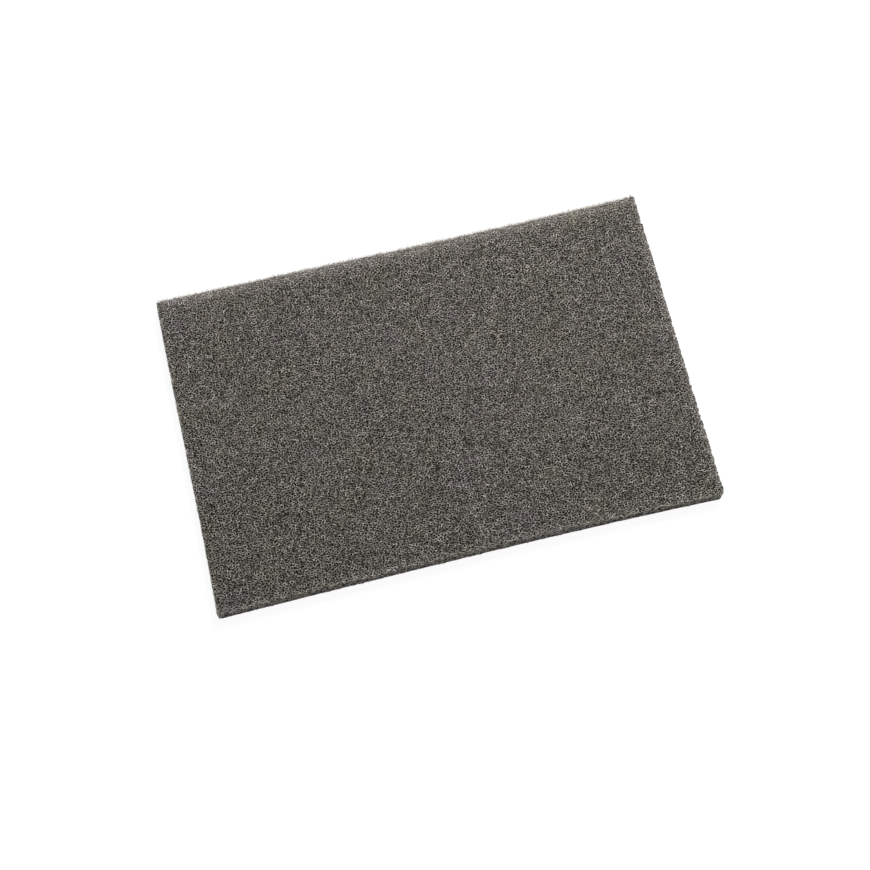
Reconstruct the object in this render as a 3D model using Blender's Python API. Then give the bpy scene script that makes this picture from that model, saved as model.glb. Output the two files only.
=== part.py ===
"""Non-woven abrasive hand pad: one die-cut rectangle of lofty bonded web, lying flat.

The pad is one piece. Its long way runs along X, its short way along Y, and it rests on z = 0 with
the origin under its middle. The die cuts a soft web, so no edge comes out quite straight or square:
each edge is a shallow curve, one corner is pinched round, and the rims are crushed a little.
"""

import math

import bmesh
import bpy
from mathutils import Vector, noise

# Driving dimensions of the pad, in metres
LENGTH = 0.2289
WIDTH = 0.1536
THICKNESS = 0.008

# How each cut edge leaves its straight line, in metres. bow is how far its middle is drawn in, lean is
# how much further out its + end lies than its middle, and swerve gives it a slight S.
NEAR_EDGE = {"bow": 0.0012, "lean": -0.0005, "swerve": 0.0005}
FAR_EDGE = {"bow": 0.0008, "lean": -0.0003, "swerve": 0.0007}
LEFT_EDGE = {"bow": 0.0002, "lean": -0.0003, "swerve": -0.0005}
RIGHT_EDGE = {"bow": 0.0002, "lean": 0.0001, "swerve": -0.0003}

# Corner rounding of the die, and of the one corner (near, right) that is pinched round underneath
CORNER_RADIUS = 0.0008
PINCHED_RADIUS_UNDER = 0.0034
PINCHED_RADIUS_ABOVE = 0.0013
CORNER_STEPS = 4

# The rims that the die has crushed: how far they step in, and how high they reach
RIM_IN = 0.0006
RIM_HEIGHT = 0.0009
FOOT_IN = 0.0004
FOOT_HEIGHT = 0.0006
RIM_STEPS = 2

# The loft of the web: how far its upper face rises and falls, over what distances
LOFT_RISE = 0.0003
LOFT_PATCH = 0.021
TUFT_RISE = 0.0003
TUFT_PATCH = 0.0041
CUT_ROUGHNESS = 0.0002
CUT_PATCH = 0.004
WEB_SEED = Vector((3.7, 1.9, 8.3))

# How finely the faceted solid follows all this, how near to a cut a corner snaps to it, how far off the
# top's level a corner still belongs to the top, and above which angle (degrees) an edge looks sharp
PITCH = 0.0034
SNAP = 0.0004
SAME_LEVEL = 0.00004
SHARP_EDGE = 50.0

WEB_GREY = (0.113, 0.102, 0.090, 1.0)
WEB_ROUGHNESS = 0.95


def clear_scene():
    for thing in list(bpy.data.objects):
        bpy.data.objects.remove(thing)


def web_material():
    material = bpy.data.materials.new("grey_bonded_web")
    material.use_nodes = True
    shader = material.node_tree.nodes["Principled BSDF"]
    shader.inputs["Base Color"].default_value = WEB_GREY
    shader.inputs["Roughness"].default_value = WEB_ROUGHNESS
    shader.inputs["Metallic"].default_value = 0.0
    return material


def reach(edge, half, u):
    """How far out an edge lies at u, which runs from -1 to 1 along it."""
    drawn_in = edge["bow"] * (u * u - 1.0)
    return half + drawn_in + edge["lean"] * u + edge["swerve"] * (u**3 - u)


def on_edge(edge, u):
    """A point of the uninterrupted outline, at u along the named edge."""
    along_x, along_y = LENGTH / 2 * u, WIDTH / 2 * u
    return {
        "near": lambda: Vector((along_x, -reach(NEAR_EDGE, WIDTH / 2, u), 0)),
        "right": lambda: Vector((reach(RIGHT_EDGE, LENGTH / 2, u), along_y, 0)),
        "far": lambda: Vector((along_x, reach(FAR_EDGE, WIDTH / 2, u), 0)),
        "left": lambda: Vector((-reach(LEFT_EDGE, LENGTH / 2, u), along_y, 0)),
    }[edge]()


def corner(sign_x, sign_y):
    """Where two edges would meet if the corner weren't rounded."""
    side = on_edge("right" if sign_x > 0 else "left", sign_y)
    end = on_edge("far" if sign_y > 0 else "near", sign_x)
    return Vector((side.x, end.y, 0))


def stations(count):
    """Evenly spaced values from -1 to 1, both ends included."""
    return [2 * k / count - 1 for k in range(count + 1)]


def rounded_corner(sign_x, sign_y, radius, start_angle):
    """The arc round one corner, anticlockwise from start_angle."""
    centre = corner(sign_x, sign_y) - Vector((sign_x * radius, sign_y * radius, 0))
    turns = [start_angle + math.pi / 2 * k / CORNER_STEPS for k in range(CORNER_STEPS + 1)]
    return [centre + radius * Vector((math.cos(a), math.sin(a), 0)) for a in turns]


def between(values, extent, start_radius, end_radius):
    """The stations of an edge that lie clear of the rounded corners at its two ends."""
    low = -1 + (start_radius + SNAP) / (extent / 2)
    high = 1 - (end_radius + SNAP) / (extent / 2)
    return [u for u in values if low < u < high]


def outline(share_up):
    """The cut outline, anticlockwise from the near left corner, at a share of the pad's height."""
    pinched = PINCHED_RADIUS_UNDER + share_up * (PINCHED_RADIUS_ABOVE - PINCHED_RADIUS_UNDER)
    long_way = stations(round(LENGTH / PITCH))
    short_way = stations(round(WIDTH / PITCH))
    cut, round_under = CORNER_RADIUS, PINCHED_RADIUS_UNDER
    points = rounded_corner(-1, -1, cut, math.pi)
    points += [on_edge("near", u) for u in between(long_way, LENGTH, cut, round_under)]
    points += rounded_corner(1, -1, pinched, -math.pi / 2)
    points += [on_edge("right", u) for u in between(short_way, WIDTH, round_under, cut)]
    points += rounded_corner(1, 1, cut, 0.0)
    points += [on_edge("far", u) for u in reversed(between(long_way, LENGTH, cut, cut))]
    points += rounded_corner(-1, 1, cut, math.pi / 2)
    points += [on_edge("left", u) for u in reversed(between(short_way, WIDTH, cut, cut))]
    return points


def outward(points, k):
    """The outward direction of a closed anticlockwise outline at its point k."""
    along = points[(k + 1) % len(points)] - points[k - 1]
    return Vector((along.y, -along.x, 0)).normalized()


def ring(step_in, height):
    """One level of the cut wall: the outline, stepped in, a little rough where the die tore fibres."""
    points = outline(height / THICKNESS)
    made = []
    for k, point in enumerate(points):
        torn = CUT_ROUGHNESS * noise.noise((point + Vector((0, 0, height))) / CUT_PATCH + WEB_SEED)
        made.append(point + outward(points, k) * (torn - step_in) + Vector((0, 0, height)))
    return made


def wall_levels():
    """(step in, height) of each level of the wall: crushed foot, upright cut, crushed rim."""
    quarter = [math.pi / 2 * k / RIM_STEPS for k in range(RIM_STEPS + 1)]
    foot = [(FOOT_IN * (1 - math.sin(a)), FOOT_HEIGHT * (1 - math.cos(a))) for a in quarter]
    shoulder = THICKNESS - LOFT_RISE - TUFT_RISE
    rim = [(RIM_IN * (1 - math.cos(a)), shoulder - RIM_HEIGHT * (1 - math.sin(a))) for a in quarter]
    return foot + rim


def web_rise(place):
    """How far the lofty upper face stands above or below its mean, at a place on it."""
    flat = Vector((place.x, place.y, 0))
    loft = LOFT_RISE * noise.noise(flat / LOFT_PATCH + WEB_SEED)
    tuft = TUFT_RISE * noise.noise(flat / TUFT_PATCH - WEB_SEED)
    return loft + tuft


def slice_face(mesh, face, axis, extent):
    """Cuts one flat face, and what it has been cut into, across axis at every pitch."""
    pieces = {face}
    count = round(extent / PITCH)
    normal = Vector((1, 0, 0)) if axis == 0 else Vector((0, 1, 0))
    for share in stations(count)[1:-1]:
        around = set(pieces)
        for piece in pieces:
            around.update(piece.edges)
            around.update(piece.verts)
        cut = bmesh.ops.bisect_plane(
            mesh, geom=list(around), dist=SNAP, plane_co=normal * (share * extent / 2), plane_no=normal
        )
        pieces = {g for g in cut["geom"] if isinstance(g, bmesh.types.BMFace)}
    return pieces


def upper_face(mesh, top):
    """Divides the flat top into a fine grid and gives it the loft of the web."""
    pieces = slice_face(mesh, top, 0, LENGTH)
    for strip in list(pieces):
        slice_face(mesh, strip, 1, WIDTH)
    level = THICKNESS - LOFT_RISE - TUFT_RISE
    for vertex in mesh.verts:
        if abs(vertex.co.z - level) < SAME_LEVEL:
            vertex.co.z += web_rise(vertex.co)


def pad_mesh():
    """The pad as one closed mesh: flat foot, cut wall, lofty upper face."""
    mesh = bmesh.new()
    rings = [[mesh.verts.new(p) for p in ring(*level)] for level in wall_levels()]
    count = len(rings[0])
    for low, high in zip(rings, rings[1:]):
        for k in range(count):
            after = (k + 1) % count
            mesh.faces.new((low[k], low[after], high[after], high[k]))
    foot = mesh.faces.new(list(reversed(rings[0])))
    top = mesh.faces.new(rings[-1])
    mesh.normal_update()
    upper_face(mesh, top)
    bmesh.ops.triangulate(mesh, faces=[f for f in mesh.faces if f is not foot])
    data = bpy.data.meshes.new("abrasive_pad")
    mesh.to_mesh(data)
    mesh.free()
    return data


def centred(data):
    """Moves the mesh so that its own extents lie evenly about the origin in X and Y."""
    for axis in (0, 1):
        values = [v.co[axis] for v in data.vertices]
        middle = (min(values) + max(values)) / 2
        for vertex in data.vertices:
            vertex.co[axis] -= middle
    return data


def build_pad():
    data = centred(pad_mesh())
    data.materials.append(web_material())
    data.shade_smooth()
    data.set_sharp_from_angle(angle=math.radians(SHARP_EDGE))
    pad = bpy.data.objects.new("abrasive_pad", data)
    bpy.context.scene.collection.objects.link(pad)
    return pad


clear_scene()
build_pad()
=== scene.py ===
"""Looks of the non-woven abrasive hand pad: a lofty web of crimped, resin-bonded fibres.

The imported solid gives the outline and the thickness. The matted body of the web is two closed halves,
whose faces are pitted sheets. Bonded strands run round the pits of the upper face, loose fibres lie on
both faces and on the cut wall, and torn ends stand out of the cut. Everything is in metres.
"""

import math
from collections import namedtuple

import bmesh
import bpy
import numpy as np
from mathutils import Matrix, Vector, noise
from mathutils.bvhtree import BVHTree


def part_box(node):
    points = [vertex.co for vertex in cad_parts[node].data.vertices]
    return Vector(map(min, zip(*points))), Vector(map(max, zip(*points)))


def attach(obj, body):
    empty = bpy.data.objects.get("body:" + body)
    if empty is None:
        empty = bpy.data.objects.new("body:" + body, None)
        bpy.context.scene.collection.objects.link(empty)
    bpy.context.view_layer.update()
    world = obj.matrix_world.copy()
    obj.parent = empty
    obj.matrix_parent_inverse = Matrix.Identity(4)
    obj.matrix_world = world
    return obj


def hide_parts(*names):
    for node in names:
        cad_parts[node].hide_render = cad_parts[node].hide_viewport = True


MM = 0.001

# The camera, as it stood over the pad: turns in degrees, lengths in metres
CAMERA_AZIMUTH = -8.615
CAMERA_ELEVATION = 68.753
CAMERA_ROLL = -4.955
CAMERA_DISTANCE = 0.8687
AIM_RIGHT = -0.00056
AIM_UP = 0.01476
SENSOR_WIDTH = 36.0
LENS = 78.87
NEAREST_SEEN = 0.01

# The lamp, and how strongly the surround lights the pad and how strongly it shows
KEY_PLACE = (0.34, 0.48, 0.72)
KEY_SIZE = 0.4
KEY_POWER = 7.4
SURROUND_LIGHT = 0.3
SURROUND_SEEN = 1.0

# The table top: half its side, its white, and how far its own glow hides the shadows on it
TABLE_HALF = 3.0
TABLE_WHITE = (0.9, 0.9, 0.9, 1.0)
TABLE_ROUGHNESS = 0.9
TABLE_GLOW = 1.12
TABLE_GLOW_SHARE = 0.82

# The two halves of the web. Each is a sheet of small pits with strands between them: how far apart
# its corners lie, how deep its strands and its pits lie under the pad's surface, at what depth its
# painted shade is quite dark, and at what height it ends
UPPER_HALF = {
    "facing": 1,
    "spacing": 0.71 * MM,
    "depths": {
        "strand": (0.2 * MM, 0.4 * MM),
        "sunk": (0.35 * MM, 0.5 * MM),
        "pit": (0.7 * MM, 1.3 * MM),
    },
    "dark": 0.9 * MM,
    "end": 3.6 * MM,
    "seed": 5,
}
LOWER_HALF = {
    "facing": -1,
    "spacing": 1.15 * MM,
    "depths": {
        "strand": (0.12 * MM, 0.35 * MM),
        "sunk": (0.4 * MM, 0.6 * MM),
        "pit": (0.6 * MM, 1.2 * MM),
    },
    "dark": 0.9 * MM,
    "end": 3.9 * MM,
    "seed": 6,
}

# The lattice of a sheet: how far it is drawn out along the pad, how far its corners are shaken as a
# share of their spacing, and how many rows and columns it has to spare
DRAWN_OUT = 1.08
JITTER = 0.36
SPARE_ROWS = 4

# The shear that turns the lattice from place to place: how strong, over what distance, which slice of
# the noise it follows, and the step over which its slope is taken
WARP = 0.14 * MM
WARP_PATCH = 3.4 * MM
WARP_SLICE = Vector((0, 0, 0.5))
WARP_STEP = 0.1

# The least area of a triangle of the sheet, as a share of the spacing squared, and how many times the
# corners of smaller ones are eased
FLATTEST = 0.2
UNFOLDING_ROUNDS = 12

# How far inside the cut outline the sheet ends, and how near to that, as a share of the spacing, a
# corner is drawn onto its border
BODY_IN_WALL = 0.08 * MM
BORDER_REACH = 0.35

# The web grows shallower towards its cut edges, and a painted highlight makes it paler there, most on the
# far side, which faces the lamp: for each side, which way it looks, how strong its painted highlight is,
# and over what width
RIM_HIGHLIGHTS = (
    (Vector((0, 1, 0)), 2.5, 9.0 * MM),
    (Vector((1, 0, 0)), 1.1, 6.0 * MM),
    (Vector((0, -1, 0)), 1.0, 4.5 * MM),
    (Vector((-1, 0, 0)), 0.55, 3.5 * MM),
)

# What that highlight takes off the depth of the sheet, and, as painted light, off its painted shade
PALE_DEPTH = 0.3
SHEET_RIM_HIGHLIGHT = 0.45

# How far the matted body stops short of the upper rim on the far side, where the die has frayed the
# web, and how far it splays out on the right; by what share both vary, and how deep below the rim
# they die out
FRAYED_FAR = 0.3 * MM
SPLAYED_RIGHT = 0.12 * MM
FRAYED_RAGGED = 0.8
FRAYED_DEPTH = 2.9 * MM

# The cut wall of a half: how many rings of points it has, how deep its pits are, how much painted shade
# darkens it towards the table and in its pits, and how much painted light makes it paler than a face
WALL_RINGS = 6
WALL_PITS = 0.65 * MM
WALL_SHADE = 0.4
WALL_PIT_SHADE = 1.1
WALL_PAINTED_LIGHT = 0.35

# The strands that the resin has bonded round the pits: what share is missing of those that run along
# the pad and of those that run across it, how far their middles lie above the matted sheet, how short
# a stretch carries none, and how many pieces they are dealt out to
MISSING_ALONG = 0.08
MISSING_ACROSS = 0.3
STRAND_LIFT = 0.1 * MM
SHORTEST_STRETCH = 0.15 * MM
STRAND_PIECES = 3

# Which faces carry what, by their normals. Above UPWARD lies the upper face, and below its opposite
# the underside. Up to WALL_UPWARD a face carries the fibres of the cut wall. The far rim looks up by
# RIM_UPWARD or more and away by RIM_AWAY or more
UPWARD = 0.6
WALL_UPWARD = 0.9
RIM_UPWARD = 0.15
RIM_AWAY = 0.3

# How far fibres are scattered past the outline before they are cut to it
SCATTER_MARGIN = 4.0 * MM

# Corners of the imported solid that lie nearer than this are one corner
SAME_CORNER = 0.01 * MM

# The run of a fibre along a face: a nudge that keeps its direction from being nothing, and how far
# apart in the noise the fibres take their headings
LEVEL_NUDGE = (1e-4, 0, 0)
HEADING_ROW = 0.73

# The tube round a fibre: its sides, how blunt its arch is, how much it tapers to its ends, and its
# lumps of resin as lumps to the metre, how far they swell it, and how thin it is between them
TUBE_SIDES = 3
ARCH_POWER = 0.6
FIBRE_TAPER = 0.4
LUMPS = 900.0
LUMP_SWELL = 1.4
LUMP_LEAST = 0.3

# A torn end: how many straight bits it has, how far it curls, and how much it tapers to its tip
TORN_STEPS = 3
TORN_CURL = 0.45
TORN_TAPER = 0.5

# Both materials drift a little bluer or yellower: patches to the metre, and how far red and blue move
TINT_PATCHES = 80.0
TINT_RED = 0.055
TINT_BLUE = 0.3

# The coated fibre: its colours, where the light one is reached, how much brighter its painted glints are,
# the scale and strength of its grit and of its uneven coat, and how rough and how raised the grit is
FIBRE_DARK = (0.067, 0.0592, 0.0494)
FIBRE_LIGHT = (0.55, 0.519, 0.47)
FIBRE_LIGHT_FROM = 0.85
PAINTED_GLINT = 1.5
FIBRE_GRIT, FIBRE_GRIT_STRENGTH = 1700.0, 6.0
FIBRE_COAT, FIBRE_COAT_STRENGTH = 900.0, 0.3
DULL_ROUGHNESS, SHINY_ROUGHNESS = 0.9, 0.5
GRIT_BUMP, GRIT_HEIGHT = 0.6, 0.06 * MM

# The matted web: its greys, painted shade running from the dark of a pit to its palest ridge, the scale and
# strength of its grit and of its tangle, how the tangle is twisted and raised, and how dull its skin is
WEB_GREYS = (
    (0.0, (0.0066, 0.0052, 0.0037)),
    (0.4, (0.0295, 0.0246, 0.0185)),
    (0.7, (0.067, 0.0585, 0.048)),
    (1.0, (0.145, 0.132, 0.1165)),
)
WEB_GRIT, WEB_GRIT_STRENGTH = 1800.0, 3.6
WEB_TANGLE, WEB_TANGLE_STRENGTH = 1300.0, 0.5
TANGLE_TWIST = 1.5
TANGLE_BUMP, TANGLE_HEIGHT = 1.0, 0.25 * MM
WEB_ROUGHNESS = 0.9
WEB_SHEEN = 0.15

# What the trees store on their points, and the finished mesh doesn't need
WORKING_VALUES = ("up", "root", "fibre", "along", "near", "pale")

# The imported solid: the two ends of its box, its mesh with its loose triangles joined, and all its
# faces and those of its wall ready to be searched
Pad = namedtuple("Pad", "low high mesh skin wall")


def put(group, kind, wires=None, **settings):
    """Adds a node, applies its settings, and gives each named input its value or its link."""
    node = group.nodes.new(kind)
    for name, value in settings.items():
        setattr(node, name, value)
    for name, value in (wires or {}).items():
        if isinstance(value, bpy.types.NodeSocket):
            group.links.new(value, node.inputs[name])
        else:
            node.inputs[name].default_value = value
    return node


def sums(group, operation, *values):
    """One step of arithmetic on numbers."""
    return put(group, "ShaderNodeMath", dict(enumerate(values)), operation=operation).outputs[0]


def vectors(group, operation, *values):
    """One step of arithmetic on vectors."""
    wires = dict(enumerate(values))
    if operation == "SCALE":
        wires = {0: values[0], "Scale": values[1]}
    return put(group, "ShaderNodeVectorMath", wires, operation=operation).outputs[0]


def remembered(group, name, kind):
    """Reads back a value that an earlier node stored on the points."""
    node = put(group, "GeometryNodeInputNamedAttribute", {"Name": name}, data_type=kind)
    return node.outputs["Attribute"]


def store(group, geometry, name, value, kind):
    """Stores a value on the points, for a later node or for a material."""
    wires = {"Geometry": geometry, "Name": name, "Value": value}
    node = put(group, "GeometryNodeStoreNamedAttribute", wires, data_type=kind, domain="POINT")
    return node.outputs["Geometry"]


def per_fibre(group, given, low, high, salt, kind="FLOAT"):
    """A random value that is the same all along one fibre. Its salt sets it apart from the others."""
    seed = sums(group, "ADD", given["Seed"], salt)
    first, output = (2, 1) if kind == "FLOAT" else (0, 0)
    wires = {first: low, first + 1: high, "ID": remembered(group, "fibre", "INT"), "Seed": seed}
    return put(group, "FunctionNodeRandomValue", wires, data_type=kind).outputs[output]


def tree(name, sizes):
    """A Geometry Nodes group with one mesh in, one mesh out, and a named input for each size."""
    group = bpy.data.node_groups.new(name, "GeometryNodeTree")
    group.interface.new_socket("Mesh", in_out="INPUT", socket_type="NodeSocketGeometry")
    group.interface.new_socket("Mesh", in_out="OUTPUT", socket_type="NodeSocketGeometry")
    for size, kind in sizes.items():
        group.interface.new_socket(size, in_out="INPUT", socket_type="NodeSocket" + kind)
    given = group.nodes.new("NodeGroupInput").outputs
    return group, given


def measured_along(group, lines):
    """Stores on each point how far along its line it lies, from 0 to 1."""
    share = put(group, "GeometryNodeSplineParameter").outputs["Factor"]
    return store(group, lines, "along", share, "FLOAT")


def rooted_lines(group, given, count):
    """Scatters roots over the given mesh and starts a line of so many points from each.

    The points remember the number and the place of their root, and which way its face looks.
    """
    scatter = put(group, "GeometryNodeDistributePointsOnFaces", {
        "Mesh": given["Mesh"], "Density": given["Fibres"], "Seed": given["Seed"]})
    points = store(group, scatter.outputs["Points"], "up", scatter.outputs["Normal"], "FLOAT_VECTOR")
    here = put(group, "GeometryNodeInputPosition").outputs[0]
    points = store(group, points, "root", here, "FLOAT_VECTOR")
    number = put(group, "GeometryNodeInputIndex").outputs[0]
    points = store(group, points, "fibre", number, "INT")
    line = put(group, "GeometryNodeCurvePrimitiveLine", {"End": (MM, 0, 0)}).outputs[0]
    line = put(group, "GeometryNodeResampleCurve", {"Curve": line, "Count": count}).outputs[0]
    lines = put(group, "GeometryNodeInstanceOnPoints", {"Points": points, "Instance": line}).outputs[0]
    lines = put(group, "GeometryNodeRealizeInstances", {"Geometry": lines}).outputs[0]
    return measured_along(group, lines)


def arched(group):
    """0 at both ends of a fibre, and near 1 along most of it."""
    turn = sums(group, "MULTIPLY", remembered(group, "along", "FLOAT"), math.pi)
    return sums(group, "POWER", sums(group, "SINE", turn), ARCH_POWER)


def lumpiness(group):
    """How much thicker or thinner a fibre is from place to place, where resin has gathered on it."""
    here = put(group, "GeometryNodeInputPosition").outputs[0]
    lumps = put(group, "ShaderNodeTexNoise", {"Vector": here, "Scale": LUMPS, "Detail": 0.0}).outputs[0]
    return sums(group, "MULTIPLY_ADD", lumps, LUMP_SWELL, LUMP_LEAST)


def above_table(group, place, least):
    """A place, raised where it would lie lower than the least height."""
    apart = put(group, "ShaderNodeSeparateXYZ", {0: place}).outputs
    height = sums(group, "MAXIMUM", apart["Z"], least)
    return put(group, "ShaderNodeCombineXYZ", {"X": apart["X"], "Y": apart["Y"], "Z": height}).outputs[0]


def sweep(group, lines, material):
    """Ends a tree: a real tube along each line, as thick as its points say, smooth, in one material."""
    ring = put(group, "GeometryNodeCurvePrimitiveCircle", {
        "Resolution": TUBE_SIDES, "Radius": 1.0}).outputs[0]
    girth = put(group, "GeometryNodeInputRadius").outputs[0]
    tube = put(group, "GeometryNodeCurveToMesh", {
        "Curve": lines, "Profile Curve": ring, "Scale": girth, "Fill Caps": True}).outputs[0]
    whole = put(group, "GeometryNodeRealizeInstances", {"Geometry": tube}).outputs[0]
    smooth = put(group, "GeometryNodeSetShadeSmooth", {"Geometry": whole}).outputs[0]
    coated = put(group, "GeometryNodeSetMaterial", {"Geometry": smooth, "Material": material})
    put(group, "NodeGroupOutput", {"Mesh": coated.outputs[0]})


FIBRE_SIZES = {
    "Surface": "Object",
    "Fibres": "Float",
    "Steps": "Int",
    "Shortest": "Float",
    "Longest": "Float",
    "Thinnest": "Float",
    "Thickest": "Float",
    "Spread": "Float",
    "Curl": "Float",
    "Waves": "Float",
    "Depth": "Float",
    "Lowest crest": "Float",
    "Highest crest": "Float",
    "Overhang": "Float",
    "Dullest": "Float",
    "Brightest": "Float",
    "Painted lighter upward": "Float",
    "Seed": "Int",
    "Material": "Material",
}


def wandering_path(group, given):
    """Where the points of a fibre lie before it is laid on the surface.

    The fibre runs level from its root both ways, and its heading wanders by a noise of its own.
    """
    up = remembered(group, "up", "FLOAT_VECTOR")
    root = remembered(group, "root", "FLOAT_VECTOR")
    fibre = remembered(group, "fibre", "INT")
    along = remembered(group, "along", "FLOAT")
    level = vectors(group, "CROSS_PRODUCT", up, (0, 0, 1))
    level = vectors(group, "NORMALIZE", vectors(group, "ADD", level, LEVEL_NUDGE))
    across = vectors(group, "CROSS_PRODUCT", up, level)

    place = put(group, "ShaderNodeCombineXYZ", {
        "X": sums(group, "MULTIPLY", along, given["Waves"]),
        "Y": sums(group, "MULTIPLY", fibre, HEADING_ROW)}).outputs[0]
    wander = put(group, "ShaderNodeTexNoise", {"Vector": place, "Scale": 1.0, "Detail": 1.0},
                 noise_dimensions="2D").outputs[0]
    wander = sums(group, "MULTIPLY", sums(group, "SUBTRACT", wander, 0.5), given["Curl"])
    least = sums(group, "MULTIPLY", given["Spread"], -1.0)
    heading = sums(group, "ADD", per_fibre(group, given, least, given["Spread"], 1), wander)
    ahead = vectors(group, "SCALE", level, sums(group, "COSINE", heading))
    aside = vectors(group, "SCALE", across, sums(group, "SINE", heading))

    length = per_fibre(group, given, given["Shortest"], given["Longest"], 2)
    step = vectors(group, "SCALE", vectors(group, "ADD", ahead, aside),
                   sums(group, "DIVIDE", length, given["Steps"]))
    run = put(group, "GeometryNodeAccumulateField", {"Value": step, "Group ID": fibre},
              data_type="FLOAT_VECTOR")
    middle = vectors(group, "SCALE", run.outputs["Total"], 0.5)
    return vectors(group, "ADD", root, vectors(group, "SUBTRACT", run.outputs["Trailing"], middle))


def cut_to_surface(group, given, lines):
    """Remembers the place of the surface nearest to each point, and deletes what overhangs it."""
    surface = put(group, "GeometryNodeObjectInfo", {"Object": given["Surface"]},
                  transform_space="ORIGINAL").outputs["Geometry"]
    here = put(group, "GeometryNodeInputPosition").outputs[0]
    near = put(group, "GeometryNodeProximity", {"Geometry": surface, "Sample Position": here},
               target_element="FACES")
    lines = store(group, lines, "near", near.outputs["Position"], "FLOAT_VECTOR")
    astray = sums(group, "GREATER_THAN", near.outputs["Distance"], given["Overhang"])
    return put(group, "GeometryNodeDeleteGeometry", {"Geometry": lines, "Selection": astray},
               domain="POINT").outputs[0]


def arched_over_surface(group, given):
    """Where the points of a fibre lie at last: its ends in the web, its middle at its own crest."""
    crest = per_fibre(group, given, given["Lowest crest"], given["Highest crest"], 3)
    rise = sums(group, "MULTIPLY", sums(group, "ADD", crest, given["Depth"]), arched(group))
    height = sums(group, "SUBTRACT", rise, given["Depth"])
    lift = vectors(group, "SCALE", remembered(group, "up", "FLOAT_VECTOR"), height)
    return vectors(group, "ADD", remembered(group, "near", "FLOAT_VECTOR"), lift)


def crimped_fibres():
    """Scatters fibres over a mesh, lets each wander along the pad's surface, and cuts it to the outline.

    Each fibre rises out of the web, runs as a crimped line just under or on the surface, and dives
    back in.
    """
    group, given = tree("crimped fibres", FIBRE_SIZES)
    lines = rooted_lines(group, given, sums(group, "ADD", given["Steps"], 1))
    path = wandering_path(group, given)
    lines = put(group, "GeometryNodeSetPosition", {"Geometry": lines, "Position": path}).outputs[0]
    lines = cut_to_surface(group, given, lines)

    taper = sums(group, "MULTIPLY_ADD", arched(group), FIBRE_TAPER, 1 - FIBRE_TAPER)
    thickness = per_fibre(group, given, given["Thinnest"], given["Thickest"], 4)
    radius = sums(group, "MULTIPLY", sums(group, "MULTIPLY", thickness, 0.5),
                  sums(group, "MULTIPLY", lumpiness(group), taper))
    lines = put(group, "GeometryNodeSetCurveRadius", {"Curve": lines, "Radius": radius}).outputs[0]

    lifted = arched_over_surface(group, given)
    rested = above_table(group, lifted, put(group, "GeometryNodeInputRadius").outputs[0])
    lines = put(group, "GeometryNodeSetPosition", {"Geometry": lines, "Position": rested}).outputs[0]
    # Painted light and shade by height: the higher a point of a fibre lies, the paler its tone.
    height = put(group, "ShaderNodeSeparateXYZ", {0: lifted}).outputs["Z"]
    own = per_fibre(group, given, given["Dullest"], given["Brightest"], 5)
    tone = sums(group, "MULTIPLY_ADD", height, given["Painted lighter upward"], own)
    sweep(group, store(group, lines, "tone", tone, "FLOAT"), given["Material"])
    return group


STRAND_SIZES = {
    "Thinnest": "Float",
    "Thickest": "Float",
    "Dip": "Float",
    "Dullest": "Float",
    "Brightest": "Float",
    "Painted rim highlight": "Float",
    "Seed": "Int",
    "Material": "Material",
}


def bonded_strands():
    """Sweeps the short strands between the pits: each has its own girth and tone, and dips at its ends."""
    group, given = tree("bonded strands", STRAND_SIZES)
    lines = put(group, "GeometryNodeMeshToCurve", {"Mesh": given["Mesh"]}).outputs[0]
    lines = measured_along(group, lines)
    thickness = per_fibre(group, given, given["Thinnest"], given["Thickest"], 1)
    radius = sums(group, "MULTIPLY", sums(group, "MULTIPLY", thickness, 0.5), lumpiness(group))
    lines = put(group, "GeometryNodeSetCurveRadius", {"Curve": lines, "Radius": radius}).outputs[0]
    dip = sums(group, "MULTIPLY", sums(group, "SUBTRACT", arched(group), 1.0), given["Dip"])
    sunk = put(group, "ShaderNodeCombineXYZ", {"Z": dip}).outputs[0]
    lines = put(group, "GeometryNodeSetPosition", {"Geometry": lines, "Offset": sunk}).outputs[0]
    own = per_fibre(group, given, given["Dullest"], given["Brightest"], 2)
    # Painted highlight: near the cut rim the strands are painted paler.
    pale = remembered(group, "pale", "FLOAT")
    tone = sums(group, "MULTIPLY_ADD", pale, given["Painted rim highlight"], own)
    sweep(group, store(group, lines, "tone", tone, "FLOAT"), given["Material"])
    return group


TORN_SIZES = {
    "Fibres": "Float",
    "Shortest": "Float",
    "Longest": "Float",
    "Thickness": "Float",
    "Lean": "Float",
    "Depth": "Float",
    "Dullest": "Float",
    "Brightest": "Float",
    "Seed": "Int",
    "Material": "Material",
}


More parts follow.
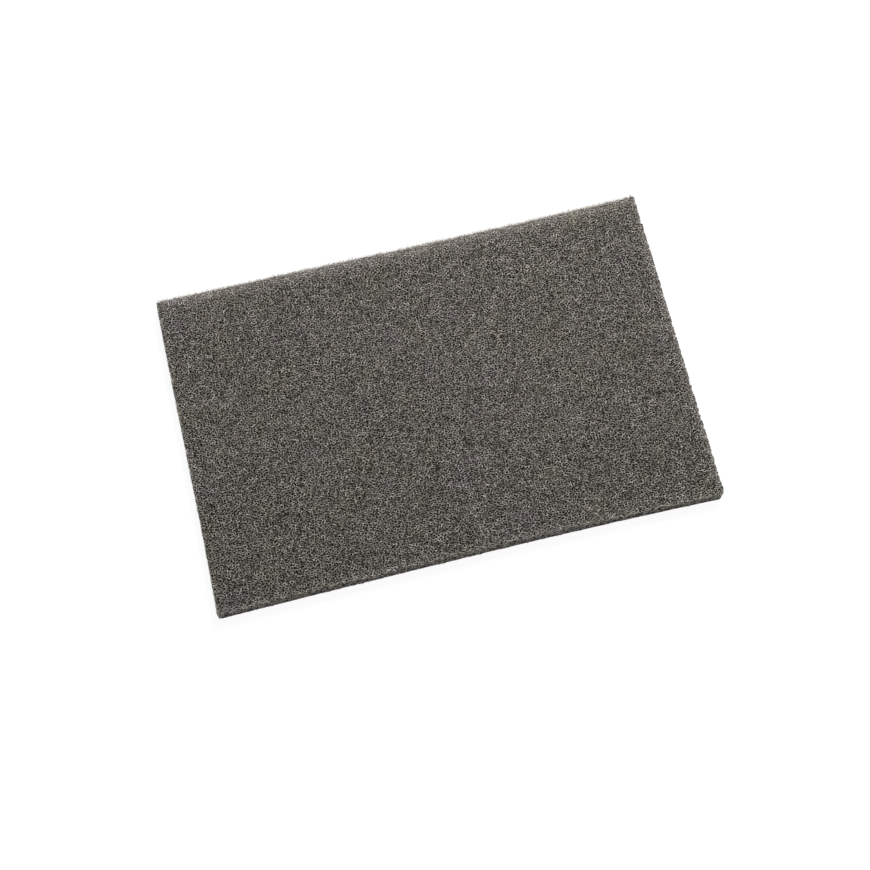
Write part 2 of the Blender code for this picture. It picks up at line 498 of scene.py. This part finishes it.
def torn_ends():
    """Short fibre ends that stand out of the web, each leaning and curling its own way."""
    group, given = tree("torn ends", TORN_SIZES)
    lines = rooted_lines(group, given, TORN_STEPS + 1)
    along = remembered(group, "along", "FLOAT")
    up = remembered(group, "up", "FLOAT_VECTOR")
    lean = per_fibre(group, given, (-1, -1, -1), (1, 1, 1), 1, "FLOAT_VECTOR")
    lean = vectors(group, "SCALE", lean, given["Lean"])
    ahead = vectors(group, "NORMALIZE", vectors(group, "ADD", up, lean))
    curl = per_fibre(group, given, (-1, -1, -1), (1, 1, 1), 2, "FLOAT_VECTOR")
    bend = vectors(group, "SCALE", curl, sums(group, "MULTIPLY", along, along))
    run = vectors(group, "ADD", vectors(group, "SCALE", ahead, along),
                  vectors(group, "SCALE", bend, TORN_CURL))
    reach = per_fibre(group, given, given["Shortest"], given["Longest"], 3)
    root = vectors(group, "SUBTRACT", remembered(group, "root", "FLOAT_VECTOR"),
                   vectors(group, "SCALE", up, given["Depth"]))
    place = vectors(group, "ADD", root, vectors(group, "SCALE", run, reach))
    rested = above_table(group, place, given["Thickness"])
    lines = put(group, "GeometryNodeSetPosition", {"Geometry": lines, "Position": rested}).outputs[0]
    taper = sums(group, "MULTIPLY_ADD", along, -TORN_TAPER, 1.0)
    radius = sums(group, "MULTIPLY", sums(group, "MULTIPLY", given["Thickness"], 0.5), taper)
    lines = put(group, "GeometryNodeSetCurveRadius", {"Curve": lines, "Radius": radius}).outputs[0]
    tone = per_fibre(group, given, given["Dullest"], given["Brightest"], 5)
    sweep(group, store(group, lines, "tone", tone, "FLOAT"), given["Material"])
    return group


def add_nodes(thing, group, sizes):
    """Puts a tree on an object and sets its inputs by their identifiers."""
    modifier = thing.modifiers.new(group.name, "NODES")
    modifier.node_group = group
    sockets = [s for s in group.interface.items_tree if s.in_out == "INPUT" and s.name in sizes]
    for socket in sockets:
        modifier[socket.identifier] = sizes[socket.name]


def placed(name, data):
    """A new object of the scene that holds a mesh, a camera or a lamp."""
    thing = bpy.data.objects.new(name, data)
    bpy.context.scene.collection.objects.link(thing)
    return thing


def made_plain(thing, name):
    """The evaluated shape of an object as a plain mesh object of its own."""
    bpy.context.view_layer.update()
    evaluated = thing.evaluated_get(bpy.context.evaluated_depsgraph_get())
    mesh = bpy.data.meshes.new_from_object(evaluated)
    for working in WORKING_VALUES:
        if working in mesh.attributes:
            mesh.attributes.remove(mesh.attributes[working])
    mesh.name = name
    return placed(name, mesh)


def merged_pad(node):
    """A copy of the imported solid's mesh with its loose triangles joined."""
    mesh = bmesh.new()
    mesh.from_mesh(node.data)
    bmesh.ops.remove_doubles(mesh, verts=mesh.verts, dist=SAME_CORNER)
    mesh.normal_update()
    data = bpy.data.meshes.new("merged pad")
    mesh.to_mesh(data)
    mesh.free()
    return data


def part_of(data, name, wanted):
    """The faces of a mesh whose normal is wanted, as a helper object."""
    mesh = bmesh.new()
    mesh.from_mesh(data)
    bmesh.ops.delete(mesh, geom=[f for f in mesh.faces if not wanted(f.normal)], context="FACES")
    part = bpy.data.meshes.new(name)
    mesh.to_mesh(part)
    mesh.free()
    return placed(name, part)


def face_tree(data, wanted):
    """The faces of a mesh whose normal is wanted, ready to be searched."""
    part = part_of(data, "searched faces", wanted)
    shape = bmesh.new()
    shape.from_mesh(part.data)
    found = BVHTree.FromBMesh(shape)
    shape.free()
    bpy.data.objects.remove(part)
    return found


def packed_pad(node):
    """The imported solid, in the forms that the looks are made from."""
    low, high = (Vector(c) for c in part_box("abrasive_pad"))
    mesh = merged_pad(node)
    skin = face_tree(mesh, lambda n: True)
    wall = face_tree(mesh, lambda n: abs(n.z) < UPWARD)
    return Pad(low, high, mesh, skin, wall)


def scatter_plane(name, pad, facing):
    """A rectangle past the outline on all sides, over which fibres are scattered."""
    x, y = pad.high.x + SCATTER_MARGIN, pad.high.y + SCATTER_MARGIN
    level = pad.high.z if facing > 0 else pad.low.z
    corners = [(-x, -y, level), (x, -y, level), (x, y, level), (-x, y, level)]
    plane = bpy.data.meshes.new(name)
    plane.from_pydata(corners, [], [(0, 1, 2, 3) if facing > 0 else (3, 2, 1, 0)])
    return placed(name, plane)


def shader(name):
    """A new material, its nodes, and the node of its skin."""
    material = bpy.data.materials.new(name)
    material.use_nodes = True
    nodes = material.node_tree
    return material, nodes, nodes.nodes["Principled BSDF"]


def ramp(nodes, value, stops):
    """A colour ramp through (position, colour) stops."""
    node = put(nodes, "ShaderNodeValToRGB", {"Fac": value})
    band = node.color_ramp
    while len(band.elements) < len(stops):
        band.elements.new(0.5)
    for element, (position, colour) in zip(band.elements, stops):
        element.position = position
        element.color = (*colour, 1.0)
    return node.outputs["Color"]


def speckle(nodes, where, scale, detail=1.0, twist=0.0):
    """A noise of so many patches to the metre."""
    wires = {"Vector": where, "Scale": scale, "Detail": detail, "Distortion": twist}
    return put(nodes, "ShaderNodeTexNoise", wires).outputs[0]


def speckled(nodes, value, noisy, strength):
    """A value that a noise raises and lowers by the same amount."""
    return sums(nodes, "MULTIPLY_ADD", sums(nodes, "SUBTRACT", noisy, 0.5), strength, value)


def tinted(nodes, where, colour):
    """A colour that turns a little bluer or yellower from patch to patch."""
    patches = speckle(nodes, where, TINT_PATCHES, detail=2.0)
    red = speckled(nodes, 1.0, patches, TINT_RED)
    blue = speckled(nodes, 1.0, patches, TINT_BLUE)
    shift = put(nodes, "ShaderNodeCombineXYZ", {"X": red, "Y": 1.0, "Z": blue}).outputs[0]
    return vectors(nodes, "MULTIPLY", colour, shift)


def coated_fibre(name):
    """Nylon fibre in a matt resin that carries fine mineral grit, with painted glints on its brightest
    tones.
    """
    material, nodes, skin = shader(name)
    where = put(nodes, "ShaderNodeTexCoord").outputs["Object"]
    tone = put(nodes, "ShaderNodeAttribute", attribute_name="tone").outputs["Fac"]
    grit = speckle(nodes, where, FIBRE_GRIT)
    mixed = speckled(nodes, tone, grit, FIBRE_GRIT_STRENGTH)
    mixed = speckled(nodes, mixed, speckle(nodes, where, FIBRE_COAT), FIBRE_COAT_STRENGTH)
    # Painted glint: the brightest tones go past the fibre's light colour.
    glint = tuple(PAINTED_GLINT * c for c in FIBRE_LIGHT)
    colour = ramp(nodes, mixed, [(0.0, FIBRE_DARK), (FIBRE_LIGHT_FROM, FIBRE_LIGHT), (1.0, glint)])
    nodes.links.new(tinted(nodes, where, colour), skin.inputs["Base Color"])
    rough = put(nodes, "ShaderNodeMapRange", {
        "Value": grit, "To Min": DULL_ROUGHNESS, "To Max": SHINY_ROUGHNESS}).outputs[0]
    nodes.links.new(rough, skin.inputs["Roughness"])
    bump = put(nodes, "ShaderNodeBump", {"Height": grit, "Strength": GRIT_BUMP, "Distance": GRIT_HEIGHT})
    nodes.links.new(bump.outputs[0], skin.inputs["Normal"])
    return material


def deep_web(name):
    """The web below the outermost fibres: matted strands with dark gaps between them, and painted shade
    that darkens each point the deeper it lies.
    """
    material, nodes, skin = shader(name)
    where = put(nodes, "ShaderNodeTexCoord").outputs["Object"]
    painted_shading = put(nodes, "ShaderNodeAttribute", attribute_name="painted_shading").outputs["Fac"]
    tangle = speckle(nodes, where, WEB_TANGLE, detail=2.0, twist=TANGLE_TWIST)
    # Painted shade: the deeper a point lies, the darker its grey; a painted rim highlight lightens it near
    # the cut edge.
    tone = sums(nodes, "SUBTRACT", 1.0, painted_shading)
    tone = speckled(nodes, tone, speckle(nodes, where, WEB_GRIT), WEB_GRIT_STRENGTH)
    tone = speckled(nodes, tone, tangle, WEB_TANGLE_STRENGTH)
    colour = ramp(nodes, tone, WEB_GREYS)
    nodes.links.new(tinted(nodes, where, colour), skin.inputs["Base Color"])
    skin.inputs["Roughness"].default_value = WEB_ROUGHNESS
    skin.inputs["Specular IOR Level"].default_value = WEB_SHEEN
    bump = put(nodes, "ShaderNodeBump", {
        "Height": tangle, "Strength": TANGLE_BUMP, "Distance": TANGLE_HEIGHT})
    nodes.links.new(bump.outputs[0], skin.inputs["Normal"])
    return material


def dress(piece):
    """What every piece of the pad is told: the body that it rides on."""
    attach(piece, "root")


def sheared(x, y):
    """A shift that shears and turns the lattice from place to place, but crowds it nowhere."""
    here = Vector((x, y, 0)) / WARP_PATCH + WARP_SLICE
    ahead, aside = Vector((WARP_STEP, 0, 0)), Vector((0, WARP_STEP, 0))
    across = noise.noise(here + aside) - noise.noise(here - aside)
    along = noise.noise(here - ahead) - noise.noise(here + ahead)
    return Vector((across, along, 0)) * (WARP / (2 * WARP_STEP))


def around(k, columns):
    """The numbers of the six points next to point k of a lattice with so many columns."""
    row = k // columns
    shift = 0 if row % 2 else -1
    beside = [k - 1, k + 1]
    for other in (k - columns, k + columns):
        beside += [other + shift, other + shift + 1]
    return beside


def lattice_triangles(rows, columns):
    """The triangles of a lattice whose odd rows are shifted by half a step."""
    triangles = []
    for row in range(rows - 1):
        for column in range(columns - 1):
            here, above = row * columns + column, (row + 1) * columns + column
            if row % 2:
                triangles += [(here, here + 1, above + 1), (here, above + 1, above)]
            else:
                triangles += [(here, here + 1, above), (here + 1, above + 1, above)]
    return triangles


def unfolded(places, triangles, spacing):
    """Draws points towards their neighbours until no triangle is too flat or turned over."""
    sides = ([0, 1], [1, 2], [2, 0], [1, 0], [2, 1], [0, 2])
    links = np.concatenate([triangles[:, side] for side in sides])
    shares = np.bincount(links[:, 0], minlength=len(places))
    for _ in range(UNFOLDING_ROUNDS):
        one, two, three = (places[triangles[:, corner]] for corner in range(3))
        area = np.cross(two - one, three - one)
        tight = np.unique(triangles[area < FLATTEST * spacing**2])
        middle = np.stack([
            np.bincount(links[:, 0], places[links[:, 1], axis], len(places)) for axis in (0, 1)], axis=1)
        places[tight] = middle[tight] / shares[tight, None]
    return places


def honeycomb(spacing, half_x, half_y, chance):
    """A shaken lattice drawn out along the pad, the points that are the middles of pits, and its triangles.

    Pits are dealt out in random order wherever no neighbour is a pit yet, so they form no rows.
    """
    wide, rise = spacing * DRAWN_OUT, spacing * math.sqrt(3) / 2 / DRAWN_OUT
    columns = int(2 * half_x / wide) + SPARE_ROWS
    rows = int(2 * half_y / rise) + SPARE_ROWS
    places = []
    for row in range(rows):
        for column in range(columns):
            x = (column - (columns - 1) / 2 + (row % 2) / 2) * wide
            y = (row - (rows - 1) / 2) * rise
            places.append(Vector((x, y, 0)) + sheared(x, y))
    triangles = lattice_triangles(rows, columns)
    places = np.array(places)[:, :2] + chance.uniform(-JITTER, JITTER, (len(places), 2)) * spacing
    places = unfolded(places, np.array(triangles), spacing)
    pits = set()
    for k in chance.permutation(len(places)).tolist():
        if pits.isdisjoint(around(k, columns)):
            pits.add(k)
    return [Vector((x, y, 0)) for x, y in places.tolist()], pits, triangles


def set_back(outward):
    """How far the upper body stops short of its rim, or below 0 splays out, where it looks outward."""
    return FRAYED_FAR * max(outward.y, 0.0) ** 2 - SPLAYED_RIGHT * max(outward.x, 0.0) ** 2


def painted_rim_highlight(gap, outward):
    """How strong the painted rim highlight is, which also makes the web shallower, at a distance inside the
    cut edge that looks outward.
    """
    pale = 0.0
    for way, most, width in RIM_HIGHLIGHTS:
        share = min(1.0, max(0.0, 1.0 - gap / width))
        pale += most * (max(0.0, outward.dot(way)) * share) ** 2
    return pale


def inland(points, pad):
    """For each point: how far it lies inside the cut outline, where that is nearest, and which way."""
    level = (pad.low.z + pad.high.z) / 2
    found = []
    for p in points:
        near, normal = pad.wall.find_nearest(Vector((p.x, p.y, level)))[:2]
        outward = Vector((normal.x, normal.y, 0)).normalized()
        gap = (near.xy - p.xy).dot(outward.xy)
        beyond = abs(p.x) > pad.high.x or abs(p.y) > pad.high.y
        found.append((-1.0 if beyond else gap, near, outward))
    return found


def cut_to_outline(points, triangles, spacing, rim, short_of):
    """Keeps the triangles inside the pad's cut outline and draws their border near it.

    short_of tells how much further in the border lies, for the side that looks in a direction. Also
    tells for each point whether it lay outside.
    """
    points = [p.copy() for p in points]
    reach = BORDER_REACH * spacing
    outside = [gap < BODY_IN_WALL + reach + short_of(outward) for gap, _, outward in rim]
    kept = [t for t in triangles if not all(outside[k] for k in t)]
    for k in {k for t in kept for k in t if outside[k]}:
        _, near, outward = rim[k]
        points[k] = Vector((near.x, near.y, 0)) - outward * (BODY_IN_WALL + short_of(outward))
    return points, kept, outside


def dealt_depths(count, pits, held, pale, depths, chance):
    """How deep each point of a sheet lies: in a pit, on a strand, or sunk between them."""
    drops = []
    for k in range(count):
        kind = "pit" if k in pits else "strand" if k in held else "sunk"
        drops.append((1 - PALE_DEPTH * min(1.0, pale[k])) * chance.uniform(*depths[kind]))
    return drops


def settled(points, drops, pad, facing):
    """Lays points at their own depths under the face of the pad that looks up or down."""
    for point, drop in zip(points, drops):
        surface = pad.skin.ray_cast(Vector((point.x, point.y, 1)), Vector((0, 0, -1)))[0]
        face = (surface.z if surface else pad.high.z) if facing > 0 else pad.low.z
        point.z = face - facing * drop
    return points


def kept_stretches(points, pits, triangles, chance):
    """The stretches of pit rim that carry a strand, each as its two end points."""
    rims = [tuple(sorted(k for k in t if k not in pits)) for t in triangles]
    stretches = []
    for stretch in sorted({r for r in rims if len(r) == 2}):
        way = points[stretch[1]] - points[stretch[0]]
        if way.length < SHORTEST_STRETCH:
            continue
        along = (way.x / way.length) ** 2
        if chance.random() > MISSING_ACROSS + (MISSING_ALONG - MISSING_ACROSS) * along:
            stretches.append(stretch)
    return stretches


def straightest(points, k, meeting):
    """The two stretches at point k that make the smallest bend."""
    ways = [(points[s[0] if s[1] == k else s[1]] - points[k]).normalized() for s in meeting]
    pairs = [(ways[a].dot(ways[b]), a, b) for a in range(len(ways)) for b in range(a)]
    return [meeting[n] for n in min(pairs)[1:]]


def strand_chains(points, stretches):
    """Links stretches into short chains of points that never share one.

    Where several stretches meet, the two that run on most nearly straight are one strand and the
    others end there. Also gives the points where two or more meet.
    """
    at = {}
    for stretch in stretches:
        for k in stretch:
            at.setdefault(k, []).append(stretch)
    onward = {}
    for k, meeting in at.items():
        if len(meeting) > 1:
            one, other = straightest(points, k, meeting)
            onward[k, one], onward[k, other] = other, one
    used, chains = set(), []
    for stretch in stretches:
        if stretch in used:
            continue
        used.add(stretch)
        chain = list(stretch)
        for _ in range(2):
            last = stretch
            while (chain[-1], last) in onward and onward[chain[-1], last] not in used:
                last = onward[chain[-1], last]
                used.add(last)
                chain.append(last[0] if last[1] == chain[-1] else last[1])
            chain.reverse()
        chains.append(chain)
    return chains, {k for k, meeting in at.items() if len(meeting) > 1}


def strand_lines(name, points, chains, pale):
    """A helper object of loose edges, one run for each chain, with its number and its painted rim
    highlight.
    """
    corners, edges, numbers, shades = [], [], [], []
    for number, chain in enumerate(chains):
        first = len(corners)
        corners += [points[k] + Vector((0, 0, STRAND_LIFT)) for k in chain]
        edges += [(k, k + 1) for k in range(first, len(corners) - 1)]
        numbers += [number] * len(chain)
        shades += [pale[k] for k in chain]
    mesh = bpy.data.meshes.new(name)
    mesh.from_pydata(corners, edges, [])
    mesh.attributes.new("fibre", "INT", "POINT").data.foreach_set("value", numbers)
    mesh.attributes.new("pale", "FLOAT", "POINT").data.foreach_set("value", shades)
    return placed(name, mesh)


def border(triangles):
    """The longest open border of a sheet of triangles, in order.

    From each open edge it turns about the edge's end, triangle by triangle, to the next open edge.
    """
    third = {(t[k], t[(k + 1) % 3]): t[(k + 2) % 3] for t in triangles for k in range(3)}
    waiting = {(a, b) for a, b in third if (b, a) not in third}
    loops = []
    while waiting:
        edge = min(waiting)
        loop = []
        while edge in waiting:
            waiting.remove(edge)
            loop.append(edge[0])
            end, far = edge[1], third[edge]
            while (far, end) in third:
                far = third[far, end]
            edge = (end, far)
        loops.append(loop)
    return max(loops, key=len)


def rough_wall(points, shade, loop, top, facing, end, chance):
    """Hangs rings of points from a sheet's border to the height where the half ends, and closes it.

    Every ring follows the heights of the border and is pitted at random. The points and their painted
    shades are added to the lists, and the faces are given back.
    """
    count, faces, above = len(loop), [], loop
    for ring in range(1, WALL_RINGS + 1):
        below = list(range(len(points), len(points) + count))
        for k in range(count):
            rim_point = points[loop[k]]
            ahead = points[loop[(k + 1) % count]] - points[loop[k - 1]]
            inward = Vector((-ahead.y, ahead.x, 0)).normalized()
            fall = (end - rim_point.z) * ring / WALL_RINGS
            drop = 0.0 if ring == WALL_RINGS else chance.uniform(0, WALL_PITS)
            eased = min(1.0, abs(fall) / FRAYED_DEPTH) * set_back(-inward) if facing > 0 else 0.0
            place = rim_point + inward * (drop - eased)
            points.append(Vector((place.x, place.y, rim_point.z + fall)))
            # Painted shade: the wall is darker towards the table and in its pits, and painted light makes
            # it paler than a face.
            lowness = 1 - points[-1].z / top
            shade.append(WALL_SHADE * lowness + WALL_PIT_SHADE * drop / WALL_PITS - WALL_PAINTED_LIGHT)
        for k in range(count):
            after = (k + 1) % count
            faces.append((below[k], below[after], above[after], above[k]))
        above = below
    faces.append(tuple(reversed(above)))
    return faces


def shaded_object(name, points, faces, shade):
    """An object of the points that its faces use, each with its painted shade."""
    mesh = bpy.data.meshes.new(name)
    used = sorted({k for f in faces for k in f})
    order = {k: n for n, k in enumerate(used)}
    mesh.from_pydata([points[k] for k in used], [], [tuple(order[k] for k in f) for f in faces])
    painted_shading = mesh.attributes.new("painted_shading", "FLOAT", "POINT")
    painted_shading.data.foreach_set("value", [shade[k] for k in used])
    mesh.shade_smooth()
    return placed(name, mesh)


def web_half(name, pad, material, facing, spacing, depths, dark, end, seed):
    """One closed half of the web: a pitted sheet, a rough wall, and a flat inner end.

    Gives back what its strands need: points as far out as the outline, the chains of them that the
    strands follow, and the painted rim highlight of each.
    """
    chance = np.random.default_rng(seed)
    lattice, pits, triangles = honeycomb(spacing, pad.high.x, pad.high.y, chance)
    rim = inland(lattice, pad)
    rims, covered, _ = cut_to_outline(lattice, triangles, spacing, rim, lambda outward: 0.0)
    chains, held = strand_chains(rims, kept_stretches(rims, pits, covered, chance))
    pale = [painted_rim_highlight(gap, outward) for gap, _, outward in rim]
    drops = dealt_depths(len(lattice), pits, held, pale, depths, chance)

    def ragged(outward):
        return set_back(outward) * (1 + FRAYED_RAGGED * chance.uniform(-1, 1)) if facing > 0 else 0.0

    points, sheet, outside = cut_to_outline(lattice, triangles, spacing, rim, ragged)
    shallow, deep = depths["strand"]
    drops_here = [deep if out else drop for drop, out in zip(drops, outside)]
    settled(points, drops_here, pad, facing)
    # Painted shade: a point is darker the deeper it lies, and paler under the painted rim highlight near
    # the cut edge.
    shade = [(drop - shallow) / (dark - shallow) - SHEET_RIM_HIGHLIGHT * p for drop, p in zip(drops_here, pale)]
    faces = sheet + rough_wall(points, shade, border(sheet), pad.high.z, facing, end, chance)
    if facing < 0:
        faces = [tuple(reversed(f)) for f in faces]
    piece = shaded_object(name, points, faces, shade)
    piece.data.materials.append(material)
    dress(piece)
    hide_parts("abrasive_pad")
    return settled(rims, drops, pad, facing), chains, pale


def fibre_layer(name, scatter, group, material, sizes, **own):
    """One piece made of many fibres."""
    helper = placed(name + " helper", scatter.data)
    add_nodes(helper, group, {"Material": material, **sizes, **own})
    piece = made_plain(helper, name)
    bpy.data.objects.remove(helper)
    dress(piece)
    return piece


# Near the cut edge a painted rim highlight makes the bonded strands paler.
STRANDS = {
    "Thinnest": 0.18 * MM,
    "Thickest": 0.31 * MM,
    "Dip": 0.12 * MM,
    "Dullest": 0.5,
    "Brightest": 0.64,
    "Painted rim highlight": 0.33,
}

FACE_FIBRES = {
    "Fibres": 22000.0,
    "Steps": 6,
    "Shortest": 4.0 * MM,
    "Longest": 6.5 * MM,
    "Thinnest": 0.15 * MM,
    "Thickest": 0.24 * MM,
    "Spread": 1.1,
    "Curl": 12.0,
    "Waves": 2.4,
    "Depth": 0.8 * MM,
    "Lowest crest": -0.25 * MM,
    "Highest crest": 0.05 * MM,
    "Overhang": 0.6 * MM,
    "Dullest": 0.4,
    "Brightest": 0.62,
    "Painted lighter upward": 0.0,
}

UNDER_FIBRES = {
    **FACE_FIBRES,
    "Fibres": 47000.0,
    "Thinnest": 0.2 * MM,
    "Thickest": 0.36 * MM,
    "Highest crest": 0.0,
}

# Their brighter tones and their paling upward are painted light on the shaded cut wall, darker towards the
# table.
WALL_FIBRES = {
    **FACE_FIBRES,
    "Fibres": 640000.0,
    "Steps": 4,
    "Shortest": 2.5 * MM,
    "Longest": 4.5 * MM,
    "Thinnest": 0.16 * MM,
    "Thickest": 0.3 * MM,
    "Spread": 0.9,
    "Depth": 0.5 * MM,
    "Lowest crest": -0.1 * MM,
    "Highest crest": 0.2 * MM,
    "Brightest": 0.95,
    "Painted lighter upward": 60.0,
}

WALL_ENDS = {
    "Fibres": 320000.0,
    "Shortest": 0.6 * MM,
    "Longest": 1.1 * MM,
    "Thickness": 0.13 * MM,
    "Lean": 0.8,
    "Depth": 0.45 * MM,
    "Dullest": 0.3,
    "Brightest": 1.0,
}

# Their high tones are a painted highlight where the far rim faces the lamp.
FAR_RIM_ENDS = {
    "Fibres": 11000000.0,
    "Shortest": 0.9 * MM,
    "Longest": 1.7 * MM,
    "Thickness": 0.2 * MM,
    "Lean": 1.0,
    "Depth": 0.5 * MM,
    "Dullest": 0.8,
    "Brightest": 1.4,
}


def strand_layers(points, chains, pale, material):
    """The bonded strands of the upper face, dealt out to a few pieces."""
    group = bonded_strands()
    for part in range(STRAND_PIECES):
        lines = strand_lines("strand lines", points, chains[part::STRAND_PIECES], pale)
        fibre_layer("upper_strands_%d" % (part + 1), lines, group, material, STRANDS, Seed=21 + part)
        bpy.data.objects.remove(lines)


def fibre_layers(pad, lying):
    """Every layer of loose fibres: on the upper face, underneath, on the cut wall and on the far rim."""
    group, ends = crimped_fibres(), torn_ends()
    upper = part_of(pad.mesh, "upper surface", lambda n: n.z > UPWARD)
    under = part_of(pad.mesh, "under surface", lambda n: n.z < -UPWARD)
    wall = part_of(pad.mesh, "wall surface", lambda n: abs(n.z) < WALL_UPWARD)
    rim = part_of(pad.mesh, "far rim", lambda n: RIM_UPWARD < n.z < WALL_UPWARD and n.y > RIM_AWAY)
    above = scatter_plane("scatter above", pad, 1)
    below = scatter_plane("scatter below", pad, -1)
    fibre_layer("upper_fibres", above, group, lying, FACE_FIBRES, Surface=upper, Seed=11)
    fibre_layer("underside_fibres", below, group, lying, UNDER_FIBRES, Surface=under, Seed=14)
    fibre_layer("cut_wall_fibres", wall, group, lying, WALL_FIBRES, Surface=wall, Seed=15)
    fibre_layer("torn_wall_ends", wall, ends, lying, WALL_ENDS, Seed=16)
    fibre_layer("far_rim_ends", rim, ends, lying, FAR_RIM_ENDS, Seed=17)
    for helper in (upper, under, wall, rim, above, below):
        bpy.data.objects.remove(helper)


def camera():
    """Looks down on the pad from just left of straight in front, a little rolled."""
    azimuth, elevation, roll = (
        math.radians(a) for a in (CAMERA_AZIMUTH, CAMERA_ELEVATION, CAMERA_ROLL))
    back = Vector((math.sin(azimuth) * math.cos(elevation),
                   -math.cos(azimuth) * math.cos(elevation), math.sin(elevation)))
    level = (-back).cross(Vector((0, 0, 1))).normalized()
    plumb = level.cross(-back)
    right = math.cos(roll) * level + math.sin(roll) * plumb
    up = math.cos(roll) * plumb - math.sin(roll) * level
    data = bpy.data.cameras.new("camera")
    data.sensor_width = SENSOR_WIDTH
    data.lens = LENS
    data.clip_start = NEAREST_SEEN
    view = placed("camera", data)
    place = back * CAMERA_DISTANCE - right * AIM_RIGHT - up * AIM_UP
    turn = Matrix((right, up, back)).transposed()
    view.matrix_world = Matrix.Translation(place) @ turn.to_4x4()
    bpy.context.scene.camera = view


def lamp(name, place, size, power):
    """A square soft light that looks at the pad."""
    data = bpy.data.lights.new(name, "AREA")
    data.size = size
    data.energy = power
    light = placed(name, data)
    light.location = place
    light.rotation_euler = (-Vector(place)).to_track_quat("-Z", "Y").to_euler()


def seen_directly(nodes):
    """1 for what the camera sees straight, mirrored or through something clear, and 0 otherwise."""
    path = put(nodes, "ShaderNodeLightPath").outputs
    mirrored = sums(nodes, "MAXIMUM", path["Is Glossy Ray"], path["Is Transmission Ray"])
    return sums(nodes, "MAXIMUM", path["Is Camera Ray"], mirrored)


def studio():
    """A large soft light over the far right side, and an even pale surround."""
    lamp("key", KEY_PLACE, KEY_SIZE, KEY_POWER)
    world = bpy.data.worlds.new("surround")
    world.use_nodes = True
    sky = world.node_tree
    back = sky.nodes["Background"]
    strength = put(sky, "ShaderNodeMapRange", {
        "Value": seen_directly(sky), "To Min": SURROUND_LIGHT, "To Max": SURROUND_SEEN}).outputs[0]
    back.inputs["Color"].default_value = (1.0, 1.0, 1.0, 1.0)
    sky.links.new(strength, back.inputs["Strength"])
    bpy.context.scene.world = world


def floor():
    """A plain white table top that keeps a faint shadow of the pad."""
    mesh = bpy.data.meshes.new("floor")
    half = TABLE_HALF
    corners = [(-half, -half, 0), (half, -half, 0), (half, half, 0), (-half, half, 0)]
    mesh.from_pydata(corners, [], [(0, 1, 2, 3)])
    ground = placed("floor", mesh)
    material, nodes, skin = shader("white_table")
    skin.inputs["Base Color"].default_value = TABLE_WHITE
    skin.inputs["Roughness"].default_value = TABLE_ROUGHNESS
    glow = put(nodes, "ShaderNodeEmission", {"Strength": TABLE_GLOW}).outputs[0]
    share = sums(nodes, "MULTIPLY", seen_directly(nodes), TABLE_GLOW_SHARE)
    mixed = put(nodes, "ShaderNodeMixShader", {"Fac": share, 1: skin.outputs[0], 2: glow}).outputs[0]
    nodes.links.new(mixed, nodes.nodes["Material Output"].inputs["Surface"])
    mesh.materials.append(material)


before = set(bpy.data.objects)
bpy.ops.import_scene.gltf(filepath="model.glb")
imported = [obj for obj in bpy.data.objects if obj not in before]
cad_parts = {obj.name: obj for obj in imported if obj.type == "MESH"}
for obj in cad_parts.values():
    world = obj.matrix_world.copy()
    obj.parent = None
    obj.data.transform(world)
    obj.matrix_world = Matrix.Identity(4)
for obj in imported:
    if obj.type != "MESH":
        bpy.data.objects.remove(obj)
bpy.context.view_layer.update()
bpy.context.scene.view_settings.view_transform = "Standard"
packed = packed_pad(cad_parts["abrasive_pad"])
camera()
studio()
floor()
matted = deep_web("deep_web")
coated = coated_fibre("coated_fibre")
strand_layers(*web_half("upper_web", packed, matted, **UPPER_HALF), coated)
web_half("lower_web", packed, matted, **LOWER_HALF)
fibre_layers(packed, coated)
